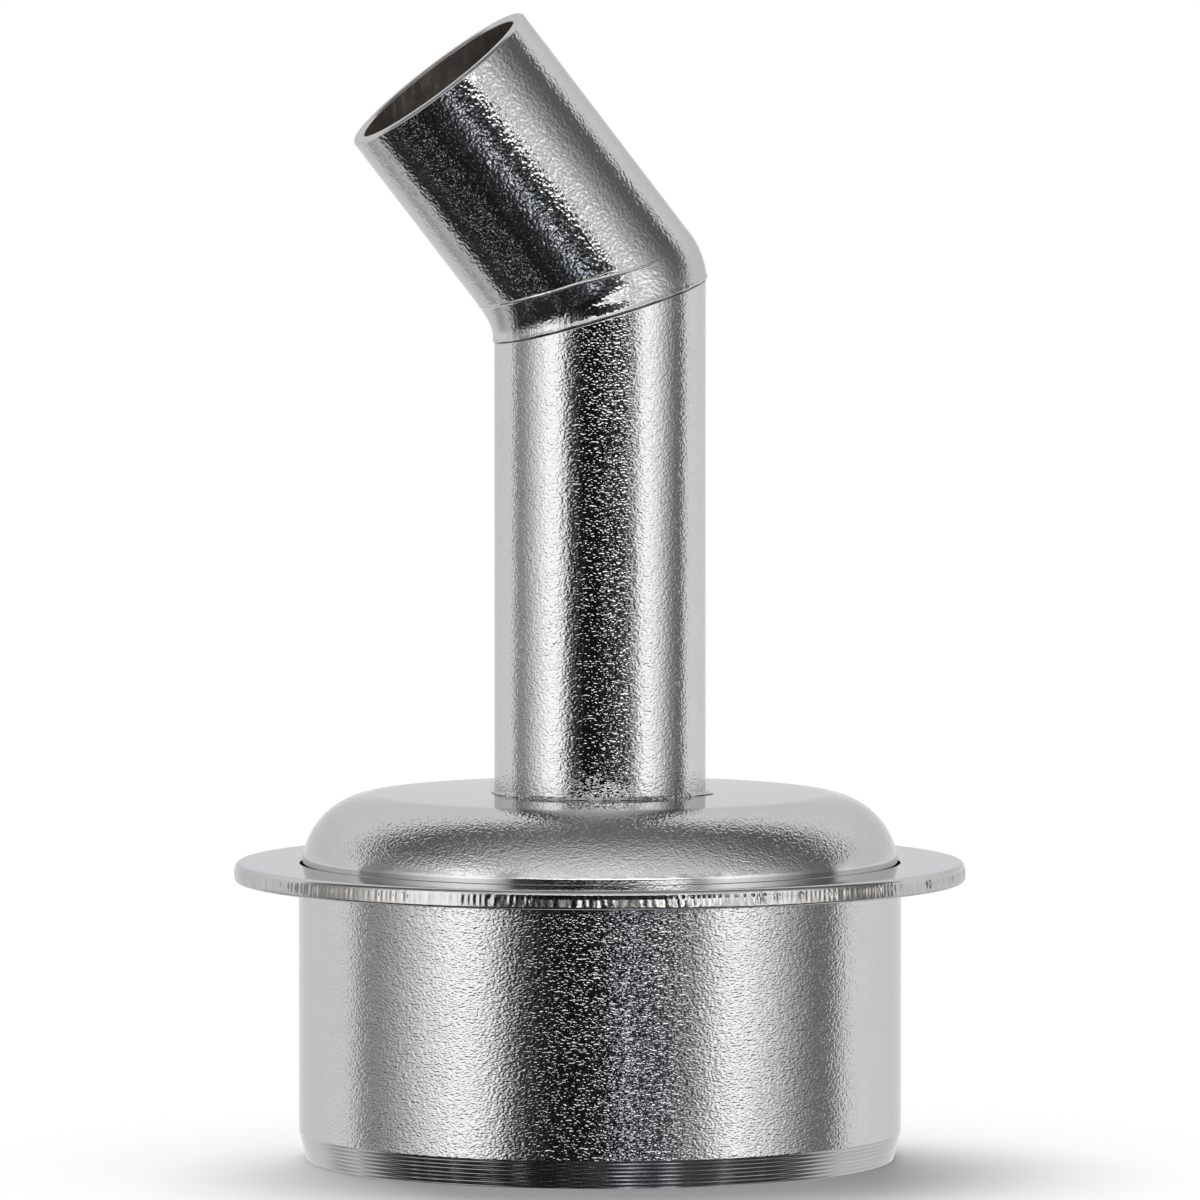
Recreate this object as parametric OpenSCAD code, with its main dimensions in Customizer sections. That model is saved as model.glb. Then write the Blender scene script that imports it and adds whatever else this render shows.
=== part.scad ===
// Angled hot air nozzle: a drawn cup with a flange ring, and a tube with a bent tip brazed into it.
// The origin is the centre of the cup's open rim, +Z runs up the cup's axis, the tip leans towards -X.

/* [Cup] */
// Outside diameter of the skirt that pushes into the gun
cup_od = 32.5; // [24:0.1:45]
// Sheet thickness of the cup
cup_wall = 0.75; // [0.5:0.05:1.2]
// Length of the skirt from the open rim up to the shoulder that the ring seats on
skirt_len = 15.0; // [8:0.1:30]
// Length of the slight taper at the skirt's upper end, where the braze lies
seat_len = 1.0; // [0.5:0.1:2]
// How far that taper draws the wall in
seat_draw = 0.03; // [0.02:0.01:0.04]
// How much smaller the cup's radius is at the knuckle than at the skirt
shoulder_step = 0.15; // [0.15:0.01:0.25]
// Height of the neck between the shoulder and the knuckle
shoulder_h = 0.6; // [0.2:0.1:2]
// How far the neck draws in on its way up to the knuckle
neck_draft = 0.02; // [0.01:0.01:0.03]
// Outside radius of the knuckle between the neck and the flat top
knuckle_r = 4.1; // [2:0.1:5]
// Length of the tapered lead-in at the open rim
lead_len = 1.5; // [0.5:0.1:3]
// How far the lead-in draws the rim's outside edge in
lead_depth = 0.4; // [0.1:0.05:0.45]

/* [Flange ring] */
// How far the ring stands out beyond the skirt
ring_overhang = 3.45; // [1.5:0.05:10]
// Thickness of the ring
ring_t = 1.0; // [0.6:0.1:2]
// Radial clearance between the ring's hole and the neck
ring_gap = 0.06; // [0.02:0.01:0.06]
// Rounding of the ring's upper outer edge, drawn in by the blanking
ring_roll = 0.25; // [0.05:0.05:0.4]
// Rounding of the ring's other edges
ring_edge = 0.12; // [0.05:0.01:0.15]

/* [Tube] */
// Bore of the riser, the elbow and the tip
tube_bore = 10.0; // [4:0.1:13]
// Wall of the riser, the elbow and the tip
tube_wall = 0.7; // [0.4:0.05:1.2]
// Length of the riser's axis from the cup's flat top to the corner of the bend
riser_len = 27.1; // [15:0.1:60]
// How far the riser's lower end stands out below the cup's top sheet, inside the cup
riser_tail = 1.0; // [0.5:0.1:4]
// Radial clearance between the riser and the hole in the cup's top
foot_gap = 0.1; // [0.05:0.01:0.25]

/* [Bend] */
// Angle between the riser and the tip
bend_angle = 38; // [10:1:60]
// Rounding radius of the elbow collar, the same inside and outside of the bend
bend_r = 4.0; // [2:0.1:6]
// How far the collar's lower lip stands proud of the riser
lip_proud = 0.08; // [0:0.01:0.2]
// Length of the tip's axis from the corner of the bend to the mouth
tip_len = 14.5; // [12:0.1:40]
// Bevel on both edges of the mouth
mouth_bevel = 0.12; // [0.05:0.01:0.15]

/* [Braze] */
// Leg of the braze fillet under the flange ring
ring_fillet = 0.8; // [0.3:0.1:1.2]
// Height of the braze fillets at the riser's foot, inside and outside of the cup
foot_fillet_h = 0.7; // [0.3:0.05:1]
// How far those fillets spread beyond the edge of the hole
foot_fillet_w = 0.2; // [0.1:0.05:0.6]

/* [Hidden] */

// Radii
cup_r = cup_od / 2;
cup_ir = cup_r - cup_wall;
neck_r = cup_r - shoulder_step;
ring_r = cup_r + ring_overhang;
ring_ir = neck_r + neck_draft + ring_gap;
tube_ir = tube_bore / 2;
tube_r = tube_ir + tube_wall;
hole_r = tube_r + foot_gap;

// Heights
cup_h = skirt_len + shoulder_h + knuckle_r;
cup_ceiling = cup_h - cup_wall;
riser_bottom = cup_ceiling - riser_tail;
bend_z = cup_h + riser_len;

// The elbow: both seams lie parallel to the mitre plane, one tangent length away from the bend's corner
mitre = bend_angle / 2;
tangent_len = bend_r * tan(mitre);
riser_seam_z = bend_z - tangent_len;

// A cutting block larger than any piece that it trims
trim = 4 * (riser_len + tip_len + tube_r);

// Facets of the collar: points round the tube and steps along the bend
collar_sides = 96;
collar_steps = 8;

// Braze fillets: radius of the concave face over its chord, and thickness left at the toes
fillet_hollow = 1.1;
fillet_toe = 0.04;

$fn = 96;

// A block of radius r and height h in the half plane x > 0, with its upper outer corner rounded to k
module rounded_block(r, h, k) {
    square([r - k, h]);
    square([r, h - k]);
    translate([r - k, h - k])
        circle(k);
}

// What a rounding of radius k removes from a corner at the origin, with the material at x < 0 and y < 0
module corner_cut(k) {
    translate([-k, -k])
        difference() {
            square(2 * k);
            circle(k);
        }
}

// Section of a braze fillet in the corner at the origin, w along +x and h along +y, with a hollow face
module fillet_section(w, h) {
    low_toe = [w, fillet_toe];
    high_toe = [fillet_toe, h];
    chord = norm(high_toe - low_toe);
    away = [h - fillet_toe, w - fillet_toe] / chord;
    radius = fillet_hollow * chord;
    centre = (low_toe + high_toe) / 2 + away * sqrt(radius * radius - chord * chord / 4);
    difference() {
        polygon([[0, 0], [w, 0], low_toe, high_toe, [0, h]]);
        translate(centre)
            circle(radius);
    }
}

// Everything above a plane through the point p, turned about Y by the angle tilt
module above_seam(p, tilt) {
    translate(p)
        rotate([0, tilt, 0])
            translate([-trim / 2, -trim / 2, 0])
                cube(trim);
}

// Half section of the cup up to the knuckle, not yet hollow: lead-in, skirt, seat taper, shoulder and neck
module wall_block() {
    polygon([
        [0, 0],
        [cup_r - lead_depth, 0],
        [cup_r, lead_len],
        [cup_r, skirt_len - seat_len],
        [cup_r - seat_draw, skirt_len],
        [neck_r + neck_draft, skirt_len],
        [neck_r, skirt_len + shoulder_h],
        [0, skirt_len + shoulder_h]
    ]);
}

module cup() {
    color("silver")
        rotate_extrude()
            difference() {
                union() {
                    wall_block();
                    translate([0, skirt_len])
                        rounded_block(neck_r, shoulder_h + knuckle_r, knuckle_r);
                }
                rounded_block(cup_ir, cup_ceiling, knuckle_r - cup_wall);
                square([hole_r, cup_h]);
            }
}

module flange_ring() {
    color("gainsboro")
        translate([0, 0, skirt_len])
            rotate_extrude()
                difference() {
                    translate([ring_ir, 0])
                        square([ring_r - ring_ir, ring_t]);
                    translate([ring_r, ring_t])
                        corner_cut(ring_roll);
                    translate([ring_r, 0])
                        mirror([0, 1])
                            corner_cut(ring_edge);
                    translate([ring_ir, ring_t])
                        mirror([1, 0])
                            corner_cut(ring_edge);
                }
}

module flange_braze() {
    color("lightgray")
        rotate_extrude()
            difference() {
                union() {
                    translate([cup_r, skirt_len])
                        mirror([0, 1])
                            fillet_section(ring_fillet, ring_fillet);
                    translate([cup_r - seat_draw, skirt_len - ring_fillet])
                        square([seat_draw, ring_fillet]);
                }
                wall_block();
            }
}

module riser_tube() {
    color("silver")
        difference() {
            translate([0, 0, riser_bottom])
                difference() {
                    cylinder(r = tube_r, h = trim / 2);
                    translate([0, 0, -tube_r])
                        cylinder(r = tube_ir, h = trim);
                }
            above_seam([0, 0, riser_seam_z], -mitre);
        }
}

module foot_braze() {
    spread = foot_gap + foot_fillet_w;
    color("lightgray")
        rotate_extrude() {
            translate([tube_r, cup_ceiling])
                square([foot_gap, cup_wall]);
            translate([tube_r, cup_h])
                fillet_section(spread, foot_fillet_h);
            translate([tube_r, cup_ceiling])
                mirror([0, 1])
                    fillet_section(spread, min(foot_fillet_h, riser_tail));
        }
}

// One ring of points on the collar: the slanted cut through a tube of radius r, carried along the bend
// by turn degrees without turning
function collar_ring(r, turn) = [
    for (i = [0 : collar_sides - 1])
        let (
            around = 360 * i / collar_sides,
            lean = r * cos(around)
        )
        [
            bend_r * (cos(turn) - 1) + lean,
            r * sin(around),
            riser_seam_z + bend_r * sin(turn) + lean * tan(mitre)
        ]
];

// Angle of the bend reached at a step along the collar
function collar_turn(step) = bend_angle * step / collar_steps;

// Outside radius of the collar at a step: proud at the lower lip, flush with the tip at the upper seam
function collar_r(step) = tube_r + lip_proud * pow(1 - step / collar_steps, 2);

// The collar's skin: up along the inner wall, back down along the outer one, closed into a ring of quads
module elbow_collar() {
    inner = [
        for (step = [0 : collar_steps])
            each collar_ring(tube_ir, collar_turn(step))
    ];
    outer = [
        for (step = [collar_steps : -1 : 0])
            each collar_ring(collar_r(step), collar_turn(step))
    ];
    loops = 2 * (collar_steps + 1);
    faces = [
        for (loop = [0 : loops - 1], i = [0 : collar_sides - 1])
            let (
                j = (i + 1) % collar_sides,
                here = loop * collar_sides,
                next = ((loop + 1) % loops) * collar_sides
            )
            each [
                [here + i, next + i, here + j],
                [here + j, next + i, next + j]
            ]
    ];
    color("silver")
        polyhedron(points = concat(inner, outer), faces = faces);
}

module tip_tube() {
    section = [
        [tube_ir, -tube_r],
        [tube_r, -tube_r],
        [tube_r, tip_len - mouth_bevel],
        [tube_r - mouth_bevel, tip_len],
        [tube_ir + mouth_bevel, tip_len],
        [tube_ir, tip_len - mouth_bevel]
    ];
    color("silver")
        translate([0, 0, bend_z])
            rotate([0, -bend_angle, 0])
                intersection() {
                    rotate_extrude()
                        polygon(section);
                    above_seam([0, 0, tangent_len], mitre);
                }
}

cup();
flange_ring();
flange_braze();
riser_tube();
foot_braze();
elbow_collar();
tip_tube();
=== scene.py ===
# %% [markdown]
# # An angled hot air nozzle
#
# The real nozzle is bright plated steel: a drawn cup that pushes into a hot air gun, a blanked ring that
# stops it there, a straight tube, and a short tip that an elbow band joins to the tube. The CAD model
# gives every size. This lesson builds a finely detailed mesh over each CAD piece, gives each its finish
# in shader nodes, and photographs it in a light tent that is painted on the sky.

# %% Load the measured model
import math

import bpy
import numpy as np
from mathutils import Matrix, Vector


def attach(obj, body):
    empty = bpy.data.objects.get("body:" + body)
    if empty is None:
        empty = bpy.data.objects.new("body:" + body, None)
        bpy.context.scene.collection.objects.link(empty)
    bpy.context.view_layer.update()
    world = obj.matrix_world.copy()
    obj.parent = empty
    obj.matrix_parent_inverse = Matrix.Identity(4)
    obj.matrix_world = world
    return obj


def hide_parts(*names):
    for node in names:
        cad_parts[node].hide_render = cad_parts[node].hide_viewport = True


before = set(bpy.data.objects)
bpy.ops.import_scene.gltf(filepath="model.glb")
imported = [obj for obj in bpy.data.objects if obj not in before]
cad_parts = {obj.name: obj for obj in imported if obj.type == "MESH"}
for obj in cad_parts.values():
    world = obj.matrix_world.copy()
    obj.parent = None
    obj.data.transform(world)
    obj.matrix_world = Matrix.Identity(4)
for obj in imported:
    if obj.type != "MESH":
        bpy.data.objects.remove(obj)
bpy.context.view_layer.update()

# Sizes are written in millimetres, while the scene is in metres
MM = 0.001
print("CAD nodes:", sorted(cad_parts))

# %% [markdown]
# ## The camera
#
# The nozzle was photographed from far away with a long lens: the cup's ellipses are very flat and the
# tube's edges stay parallel. A 322 mm lens at 578 mm, tilted three degrees down, gives the same outline.
# The tip leans towards -X, and turning the camera 13 degrees brings it a little towards the viewer. A
# short lens close by would make the ellipses rounder and the tube taper, so the long one was chosen.

# %% Camera
CAMERA_TURN = math.radians(-13.1)
CAMERA_TILT = math.radians(3.23)
AIM = Vector((0.0, 0.0, 30.1))
FAR = 578.0

towards_camera = Vector((
    math.sin(CAMERA_TURN) * math.cos(CAMERA_TILT),
    -math.cos(CAMERA_TURN) * math.cos(CAMERA_TILT),
    math.sin(CAMERA_TILT),
))
long_lens = bpy.data.cameras.new("long_lens")
long_lens.lens = 322.0
long_lens.sensor_width = 36.0
camera = bpy.data.objects.new("camera", long_lens)
camera.location = (AIM + FAR * towards_camera) * MM
camera.rotation_euler = towards_camera.to_track_quat("Z", "Y").to_euler()
bpy.context.scene.collection.objects.link(camera)
bpy.context.scene.camera = camera
print("camera at mm:", [round(v / MM, 1) for v in camera.location])

# %% [markdown]
# ## One helper for every piece
#
# Every piece of the nozzle is a ring: its section runs once round an axis. So one helper is enough. It
# takes loops of points, each loop going once round the axis, and joins each loop to the next with quads,
# the last one to the first. That makes a closed mesh with no caps and no stray faces. A modifier such as
# Screw could turn a plain section too, but loops can also be slanted or ragged.

# %% Loops to mesh
def joined_loops(name, node, loops, zones):
    """Joins loops of points in millimetres to a closed ring; each strip of faces has a zone number."""
    loops = np.asarray(loops)
    count, turns = loops.shape[:2]
    here = np.arange(count * turns).reshape(count, turns)
    above = np.roll(here, -1, 0)
    quads = np.stack([here, np.roll(here, -1, 1), np.roll(above, -1, 1), above], -1).reshape(-1, 4)
    mesh = bpy.data.meshes.new(name)
    mesh.from_pydata((loops.reshape(-1, 3) * MM).tolist(), [], quads.tolist())
    mesh.polygons.foreach_set("material_index", np.repeat(np.asarray(zones, dtype=np.int32), turns))
    mesh.shade_smooth()
    mesh.update()
    piece = bpy.data.objects.new(name, mesh)
    bpy.context.scene.collection.objects.link(piece)
    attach(piece, "root")
    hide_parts(node)
    print(f"{name}: {len(quads)} quads for the CAD node {node}")
    return piece


def around(turns):
    """Angles once round the axis."""
    return np.linspace(0, 2 * np.pi, turns, endpoint=False)


def turned(section, turns):
    """Turns a section of (radius, height) points about Z into loops."""
    angle = around(turns)
    return np.array([
        np.stack([r * np.cos(angle), r * np.sin(angle), np.full(turns, z)], -1) for r, z in section
    ])


print("a wall of 2 points turned in 8 steps gives loops of shape", turned([(1, 0), (1, 1)], 8).shape)

# %% [markdown]
# ## Rounded sections
#
# No real edge is perfectly sharp, and bright metal shows each edge as a thin line of light. So every
# corner of a section gets its own small rounding. A guard point just before and just after each rounding
# keeps the flat walls flat in smooth shading, as a bevel with support loops does in hand modelling. A
# Bevel modifier could round them too, but here each corner keeps its own radius and its zone.

# %% Rounding helper
# Distance of a guard point from its rounding, and the largest share of the wall that it may take
GUARD, GUARD_SHARE = 0.05, 0.3
# Degrees between the points of a large and of a small rounding
LARGE_STEP, SMALL_STEP = 3, 15


def rounded_section(corners, guard=GUARD):
    """Rounds the corners (radius, height, rounding, zone of the wall that follows) of a closed section."""
    spots, zones = [], []
    for i, (r, z, k, zone) in enumerate(corners):
        here = np.array((r, z))
        back = np.array(corners[i - 1][:2]) - here
        ahead = np.array(corners[(i + 1) % len(corners)][:2]) - here
        if k == 0:
            spots.append(here)
            zones.append(zone)
            continue
        room_back, room_ahead = np.linalg.norm(back), np.linalg.norm(ahead)
        back, ahead = back / room_back, ahead / room_ahead
        half = 0.5 * math.acos(float(np.clip(back @ ahead, -1, 1)))
        reach = k / math.tan(half)
        middle = (back + ahead) / np.linalg.norm(back + ahead)
        centre = here + middle * k / math.sin(half)
        step_angle = LARGE_STEP if k > 1 else SMALL_STEP
        steps = max(4, round(math.degrees(math.pi - 2 * half) / step_angle))
        share = np.linspace(0, 1, steps + 1)[:, None]
        spokes = (1 - share) * (here + back * reach - centre) + share * (here + ahead * reach - centre)
        bend = centre + k * spokes / np.linalg.norm(spokes, axis=1)[:, None]
        spots.append(here + back * (reach + min(guard, GUARD_SHARE * (room_back - reach))))
        spots.extend(bend)
        spots.append(here + ahead * (reach + min(guard, GUARD_SHARE * (room_ahead - reach))))
        zones.extend([corners[i - 1][3]] + [zone] * (steps + 2))
    return [(float(r), float(z)) for r, z in spots], zones


corner, _ = rounded_section([(0, 0, 0, 0), (1, 0, 0.1, 0), (1, 1, 0, 0)])
print("one rounded corner of a section takes", len(corner) - 2, "points")

# %% [markdown]
# ## Random waves
#
# Brazing, tearing and hand work leave edges that wander. A sum of sine waves with random strengths, each
# with a whole number of humps, runs once round a circle and closes without a step. A seed makes it the
# same each time. A Displace modifier with a noise texture could do it too, but a wave can be aimed at one
# edge alone.

# %% Wave helper
def ripple(turns, low, high, seed):
    """A random wave round a circle, from -1 to 1, made of low to high humps."""
    rng = np.random.default_rng(seed)
    angle = around(turns)
    wave = np.zeros(turns)
    for humps in range(low, high):
        wave += rng.normal() * np.sin(humps * angle + rng.uniform(0, 2 * np.pi))
    return wave / np.abs(wave).max()


print("a wave of 3 to 8 humps starts with", np.round(ripple(360, 3, 9, 1)[:4], 2))

# %% [markdown]
# ## The cup
#
# The cup is drawn from one round of sheet: flat top with a hole for the tube, a rounded knuckle, a short
# neck for the ring and a straight skirt. Its rim is turned to a lead-in taper, and the tool left fine
# rings there. A bump could draw those rings, but real grooves, a hundredth or two of a millimetre deep,
# break up the reflection and the outline as well. Extra points close to the seat and the neck keep the
# skirt and the neck upright in smooth shading.
# Zone 0 is the bright outside, zone 1 the turned band, zone 2 the inside.

# %% Lead-in and knuckle
CUP_R, CUP_WALL = 16.25, 0.75
LEAD_LEN, LEAD_DEPTH = 1.5, 0.4
GROOVES, GROOVE_POINTS, GROOVE_DEPTH = 7, 8, 0.015
SKIRT_LEN, SHOULDER_H = 15.0, 0.6
NECK_R, KNUCKLE_R = 16.1, 4.1
# Degrees from the top at which the knuckle's arc starts, and how many points it has
KNUCKLE_FROM, KNUCKLE_POINTS = 80.2, 36
CUP_TOP = SKIRT_LEN + SHOULDER_H + KNUCKLE_R

lead_in = []
for step in range(1, GROOVES * GROOVE_POINTS):
    share = step / (GROOVES * GROOVE_POINTS)
    dip = GROOVE_DEPTH * 0.5 * (1 - math.cos(2 * math.pi * GROOVES * share))
    lead_in.append((CUP_R - LEAD_DEPTH * (1 - share) - dip, LEAD_LEN * share, 0, 1))

knuckle = []
for turn in np.radians(np.linspace(KNUCKLE_FROM, 0, KNUCKLE_POINTS)):
    r = NECK_R - KNUCKLE_R * (1 - math.sin(turn))
    z = CUP_TOP - KNUCKLE_R * (1 - math.cos(turn))
    knuckle.append((r, z, 0, 0))
print("lead-in of", len(lead_in), "points, knuckle of", len(knuckle), "points")

# %% Cup
CUP_TURNS = 320
CUP_EDGE, LEAD_EDGE = 0.06, 0.08
SEAT_LEN, SEAT_DRAW = 0.15, 0.03
NECK_DRAW, WAIST_Z = 0.06, 16.3
TUBE_R, FOOT_GAP = 5.7, 0.1
HOLE_R = TUBE_R + FOOT_GAP
CUP_IN = CUP_R - CUP_WALL
CUP_CEILING = CUP_TOP - CUP_WALL

cup_section, cup_zones = rounded_section([
    (CUP_IN, 0, CUP_EDGE, 1),
    (CUP_R - LEAD_DEPTH, 0, 0, 1),
    *lead_in,
    (CUP_R, LEAD_LEN, LEAD_EDGE, 0),
    (CUP_R, SKIRT_LEN - SEAT_LEN - GUARD, 0, 0),
    (CUP_R, SKIRT_LEN - SEAT_LEN, 0, 0),
    (CUP_R - SEAT_DRAW, SKIRT_LEN, 0, 0),
    (NECK_R - NECK_DRAW, SKIRT_LEN, 0, 0),
    (NECK_R - NECK_DRAW, SKIRT_LEN + GUARD, 0, 0),
    (NECK_R - NECK_DRAW, WAIST_Z - GUARD, 0, 0),
    *knuckle,
    (HOLE_R, CUP_TOP, CUP_EDGE, 2),
    (HOLE_R, CUP_CEILING, CUP_EDGE, 2),
    (CUP_IN, CUP_CEILING, KNUCKLE_R - CUP_WALL, 2),
])
drawn_cup = joined_loops("drawn_cup", "cup", turned(cup_section, CUP_TURNS), cup_zones)

# %% [markdown]
# ## The flange ring
#
# The ring is blanked from flat sheet. The punch rolls its upper edge over and tears its rim into upright
# columns. They are less than a tenth of a millimetre deep, but on bright metal they are the first thing
# one sees, so they are modelled. The rim draws in a little on its way up, more in one column than in the
# next, so some columns face the light above and others do not. A slow wave gathers them in patches. A
# texture could paint the columns, but it would leave the ring's outline smooth, so they are in the mesh.
# Zone 0 is the flat faces, zone 1 the torn rim.

# %% Ring section
OVERHANG, RING_GAP, RING_T = 3.45, 0.08, 1.0
BURR, ROLLED, HOLE_EDGE, CHAMFER = 0.14, 0.22, 0.1, 0.04
RING_R = CUP_R + OVERHANG
RING_IN = NECK_R + RING_GAP

ring_section, ring_zones = rounded_section([
    (RING_IN, SKIRT_LEN + CHAMFER, 0, 0),
    (RING_IN + CHAMFER, SKIRT_LEN, 0, 0),
    (RING_R, SKIRT_LEN, BURR, 1),
    *[(RING_R, SKIRT_LEN + level, 0, 1) for level in np.arange(0.24, 0.72, 0.06)],
    (RING_R, SKIRT_LEN + RING_T, ROLLED, 0),
    (RING_IN, SKIRT_LEN + RING_T, HOLE_EDGE, 0),
], guard=0.04)
print("ring section of", len(ring_section), "points")

# %% Flange ring
RING_TURNS = 2400
TORN_FROM, TORN_TO, RIM_MIDDLE = 0.1, 0.8, 0.45
COLUMN_DEPTH, SCORE_DEPTH = 0.16, 0.016

ring_loops = turned(ring_section, RING_TURNS)
lean = np.cos(around(RING_TURNS) + math.radians(50))
patches = np.clip(0.6 + 0.9 * ripple(RING_TURNS, 3, 30, 15), 0.2, 1) * (0.62 + 0.38 * lean)
columns = COLUMN_DEPTH * patches * ripple(RING_TURNS, 110, 440, 11)
scores = SCORE_DEPTH * patches * ripple(RING_TURNS, 90, 360, 12)
taper = np.clip(0.058 + 0.05 * lean + 0.03 * ripple(RING_TURNS, 2, 16, 14), 0, None)
barrel = 0.25 * np.clip(0.35 - lean, 0, 1)
for loop, (r, z) in zip(ring_loops, ring_section):
    level = z - SKIRT_LEN
    if r > RING_R - 0.5 and level > TORN_FROM:
        rise = min(level - TORN_FROM, 0.5)
        torn = min(10 * rise, 1) * max(0, min((TORN_TO - level) / ROLLED, 1))
        dent = torn * (scores - rise * columns) - rise * taper
        dent += barrel * (0.12 - (level - RIM_MIDDLE) ** 2)
        loop[:, :2] *= ((r + dent) / r)[:, None]
flange = joined_loops("blanked_ring", "flange_ring", ring_loops, ring_zones)

# %% [markdown]
# ## The braze under the ring
#
# Molten braze creeps into the corner under the ring and freezes with a ragged lower edge. The section is
# a small hollow fillet; its two toes are scaled by two random waves, one slow for the puddles and one
# quick for the teeth. It reaches a little into the ring and the skirt, so no gap shows. A bevelled curve
# would be quicker, but it would be as even as a wire.

# %% Fillet helper
# How far braze reaches into the skirt and into the ring, and how far its face stands off
ROOT, OVERLAP, SKIN = 0.08, 0.05, 0.02


def ragged_fillet(inner, corner_z, width, drop, hollow=0.35, steps=7):
    """Loops of a fillet hanging in the corner at radius inner and height corner_z; width and drop vary."""
    angle = around(len(width))
    loops = []

    def loop(r, z):
        loops.append(np.stack([r * np.cos(angle), r * np.sin(angle), z + 0 * angle], -1))

    loop(inner - ROOT + 0 * angle, corner_z - 0.8 * drop)
    for step in range(steps + 1):
        share = step / steps
        hollowed = 1 - 0.6 * hollow * math.sin(math.pi * share)
        loop(inner + width * share * hollowed + SKIN, corner_z - drop * (1 - share) * hollowed - SKIN)
    loop(inner + width, corner_z + OVERLAP)
    loop(inner - ROOT + 0 * angle, corner_z + OVERLAP)
    return loops


print("a fillet has", len(ragged_fillet(1.0, 0.0, np.ones(8), np.ones(8))), "loops")

# %% Ring braze
BRAZE_TURNS = 960
LARGEST, SMALLEST_DROP, SMALLEST_WIDTH = 0.75, 0.06, 0.05

puddles = ripple(BRAZE_TURNS, 5, 40, 21)
teeth = ripple(BRAZE_TURNS, 90, 260, 22)
braze_drop = np.clip(0.2 + 0.05 * puddles + 0.18 * teeth, SMALLEST_DROP, LARGEST)
braze_width = np.clip(0.12 + 0.03 * puddles + 0.05 * teeth, SMALLEST_WIDTH, LARGEST)
ring_braze_loops = ragged_fillet(CUP_R - SEAT_DRAW, SKIRT_LEN, braze_width, braze_drop)
ring_braze = joined_loops("ring_braze", "flange_braze", ring_braze_loops, [0] * len(ring_braze_loops))

# %% [markdown]
# ## The straight tube
#
# The riser is plain tube, square at the foot and cut on a slant at the top. The slant is a shear: the
# section is turned as if the top were level, then each upper point rises with its x, so the wall stays
# round. In the photograph the cut runs a little higher and flatter than half the bend, and so it does
# here. The top edge is rounded, which leaves a fine dark crevice below the elbow band. A Boolean cut
# could slant it as well, but it would leave long thin faces, and the shear keeps even quads.
# Zone 0 is the outside, zone 1 the cut edges, zone 2 the bore.

# %% Riser tube
BORE_R = 5.0
RISER_TAIL, RISER_LEN = 1.0, 27.1
RISER_LOW = CUP_CEILING - RISER_TAIL
BEND_Z = CUP_TOP + RISER_LEN
BEND, BEND_R = math.radians(38.0), 4.0
SLANT = math.tan(BEND / 2)
TANGENT = BEND_R * SLANT
SEAM_Z = BEND_Z - TANGENT
# How much higher than half the bend the cut lies, and how much flatter it runs
LIP_RAISE, LIP_EASE = 0.28, 0.042
TUBE_TURNS = 288

riser_section, riser_zones = rounded_section([
    (BORE_R, RISER_LOW, 0.08, 1),
    (TUBE_R, RISER_LOW, 0.08, 0),
    (TUBE_R, SEAM_Z, 0.07, 1),
    (BORE_R, SEAM_Z, 0.05, 2),
])
riser_loops = turned(riser_section, TUBE_TURNS)
upper = riser_loops[:, :, 2] > 0.5 * (RISER_LOW + SEAM_Z)
riser_loops[:, :, 2] += np.where(upper, LIP_RAISE + riser_loops[:, :, 0] * (SLANT - LIP_EASE), 0)
riser = joined_loops("riser", "riser_tube", riser_loops, riser_zones)

# %% [markdown]
# ## The elbow band
#
# The band is the hardest shape here: it carries the slanted cut of the riser round the bend without
# turning it, so it is hollow on the inner side of the bend and round on the outer side. Its lower lip is
# rolled a little proud and not quite even, a fine raised crease marks its upper edge, and one spot is
# swollen. Each station below is a share of the bend and how far the wall stands proud there; waves and
# soft humps are added to that. A bevelled curve would turn its section along with the bend, so the loops
# are placed one by one.
# Zone 0 is the outside, zone 1 the bore.

# %% Elbow waves
BAND_TURNS = 384
CREASE_AT, CREASE_DIP, CREASE_WANDER = 0.982, 0.13, 0.008
SWELLING_AT = math.radians(264)

band_angle = around(BAND_TURNS)
lip_wander = 0.5 + 0.5 * ripple(BAND_TURNS, 3, 24, 31)
lip_lumps = ripple(BAND_TURNS, 12, 80, 32)
crease_wander = ripple(BAND_TURNS, 3, 16, 33)
from_inner = 180 - np.abs(np.degrees(np.arctan2(np.sin(band_angle), np.cos(band_angle))))
eased = np.clip((from_inner - 68) / 40, 0, 1)
crease_at = CREASE_AT - CREASE_DIP * eased * eased * (3 - 2 * eased) - CREASE_WANDER * crease_wander
crease_fade = 1 - 0.9 * np.clip((from_inner - 112) / 16, 0, 1)
swelling = np.exp(-((band_angle - SWELLING_AT) / 0.22) ** 2)
crease_ends = [round(float(end), 3) for end in (crease_at.min(), crease_at.max())]
print("the crease runs between these shares of the bend:", crease_ends)

# %% Band loop
def band_loop(share, radius):
    """One loop of the elbow band: the slanted cut, carried along the bend."""
    turn = BEND * min(share, 1.0)
    beyond = BEND * BEND_R * max(share - 1.0, 0.0)
    lean = radius * np.cos(band_angle)
    raised = (LIP_RAISE - LIP_EASE * lean) * max(1 - share, 0.0) ** 2
    raised += 0.05 * lip_wander * math.exp(-(share / 0.07) ** 2)
    return np.stack([
        BEND_R * (np.cos(turn) - 1) + lean - beyond * math.sin(BEND),
        radius * np.sin(band_angle),
        SEAM_Z + BEND_R * np.sin(turn) + lean * SLANT + raised + beyond * math.cos(BEND),
    ], -1)


print("the lip's lowest point is at", round(band_loop(0.0, TUBE_R)[:, 2].min(), 2), "mm")

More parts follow.
